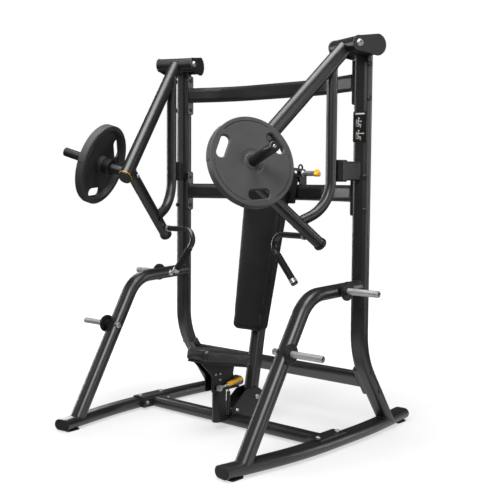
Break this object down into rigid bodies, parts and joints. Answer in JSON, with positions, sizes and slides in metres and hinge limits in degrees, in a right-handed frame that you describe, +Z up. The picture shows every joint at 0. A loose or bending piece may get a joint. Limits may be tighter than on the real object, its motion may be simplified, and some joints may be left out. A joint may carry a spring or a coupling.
{
  "type": "chest press machine",
  "caption": "Plate-loaded chest press with converging press arms, weight horns and discs, storage pegs, a height-adjustable padded seat and a tilting padded back rest.",
  "frame": {"origin": "on the floor under the middle of the machine's bounding box", "axes": "+Z up, the seated user faces -Y, +X is the user's left"},
  "size_m": [1.7958, 1.5198, 2.1354],
  "materials": {
    "frame_paint": "satin charcoal powder coat",
    "black_plastic": "moulded, fine texture",
    "black_rubber": "matte",
    "bright_steel": "polished plating",
    "dark_steel": "black oxide",
    "bush_bronze": "sintered, oiled",
    "disc_iron": "matte coating",
    "vinyl": "smooth upholstery vinyl over foam",
    "amber": "soft touch",
    "card": "plain plate with no lettering"
  },
  "bodies": {
    "frame": {"arm_yoke_left": "frame_paint", "arm_yoke_right": "frame_paint", "assist_cylinder": "frame_paint", "back_hinge_bolts": "bright_steel", "back_hinge_cheeks": "frame_paint", "base_rail_left": "frame_paint", "base_rail_right": "frame_paint", "cross_tube_saddles": "frame_paint", "crossbar_bolts": "dark_steel", "crossbar_end_plates": "frame_paint", "frame_bolts": "bright_steel", "front_strut_left": "frame_paint", "front_strut_right": "frame_paint", "ground_cross_tube": "frame_paint", "lower_crossbar": "frame_paint", "middle_crossbar": "frame_paint", "peg_flanges": "black_plastic", "pivot_shafts": "bright_steel", "placard": "card", "rail_caps_and_feet": "black_rubber", "seat_sleeve": "frame_paint", "slot_plate": "frame_paint", "stop_rubbers": "black_rubber", "storage_pegs": "bright_steel", "top_crossbar": "frame_paint", "upright_left": "frame_paint", "upright_right": "frame_paint"},
    "arm_right": {"pivot_bushes_right": "bush_bronze", "arm_main_tube_right": "frame_paint", "arm_lower_tube_right": "frame_paint", "arm_rear_tube_right": "frame_paint", "weight_horn_right": "dark_steel", "handle_bar_right": "frame_paint", "handle_grip_right": "black_rubber", "arm_fittings_right": "bright_steel", "arm_caps_right": "black_plastic"},
    "disc_right": {"weight_disc_right": "disc_iron"},
    "arm_left": {"pivot_bushes_left": "bush_bronze", "arm_main_tube_left": "frame_paint", "arm_lower_tube_left": "frame_paint", "arm_rear_tube_left": "frame_paint", "weight_horn_left": "dark_steel", "handle_bar_left": "frame_paint", "handle_grip_left": "black_rubber", "arm_fittings_left": "bright_steel", "arm_caps_left": "black_plastic"},
    "disc_left": {"weight_disc_left": "disc_iron"},
    "seat": {"seat_pad": "vinyl", "seat_board": "black_plastic", "seat_post": "frame_paint", "assist_rod": "bright_steel", "seat_fittings": "bright_steel"},
    "seat_lever": {"seat_lever": "bright_steel", "seat_lever_grip": "amber"},
    "back_rest": {"back_pad": "vinyl", "back_board": "black_plastic", "back_post": "frame_paint", "adjust_arm": "frame_paint"},
    "clamp_knob": {"clamp_stud": "bright_steel", "clamp_knob": "amber"}
  },
  "joints": [
    {"name": "arm_press_right", "type": "hinge", "parent": "frame", "child": "arm_right", "pos_m": [0.6294, 0.155, 2.08], "axis": [-0.9336, 0.3584, 0], "range_deg": [0, 42]},
    {"name": "arm_press_left", "type": "hinge", "parent": "frame", "child": "arm_left", "pos_m": [-0.6294, 0.155, 2.08], "axis": [-0.9336, -0.3584, 0], "range_deg": [0, 42]},
    {"name": "disc_pull_right", "type": "slide", "parent": "arm_right", "child": "disc_right", "axis": [0.8928, -0.3427, 0.2924], "range_m": [0, 0.27]},
    {"name": "disc_pull_left", "type": "slide", "parent": "arm_left", "child": "disc_left", "axis": [-0.8928, -0.3427, 0.2924], "range_m": [0, 0.27]},
    {"name": "seat_height", "type": "slide", "parent": "frame", "child": "seat", "axis": [0, 0, 1], "range_m": [0, 0.1]},
    {"name": "seat_release", "type": "hinge", "parent": "seat", "child": "seat_lever", "pos_m": [0.0295, -0.17, 0.246], "axis": [1, 0, 0], "range_deg": [0, 14], "stiffness_Nm_per_rad": 6, "springref_deg": -11.46},
    {"name": "back_recline", "type": "hinge", "parent": "frame", "child": "back_rest", "pos_m": [0, 0.15, 0.143], "axis": [1, 0, 0], "range_deg": [0, 3]},
    {"name": "clamp_turn", "type": "hinge", "parent": "back_rest", "child": "clamp_knob", "pos_m": [0.284, 0.36, 1.424], "axis": [1, 0, 0], "range_deg": [-180, 0]}
  ]
}
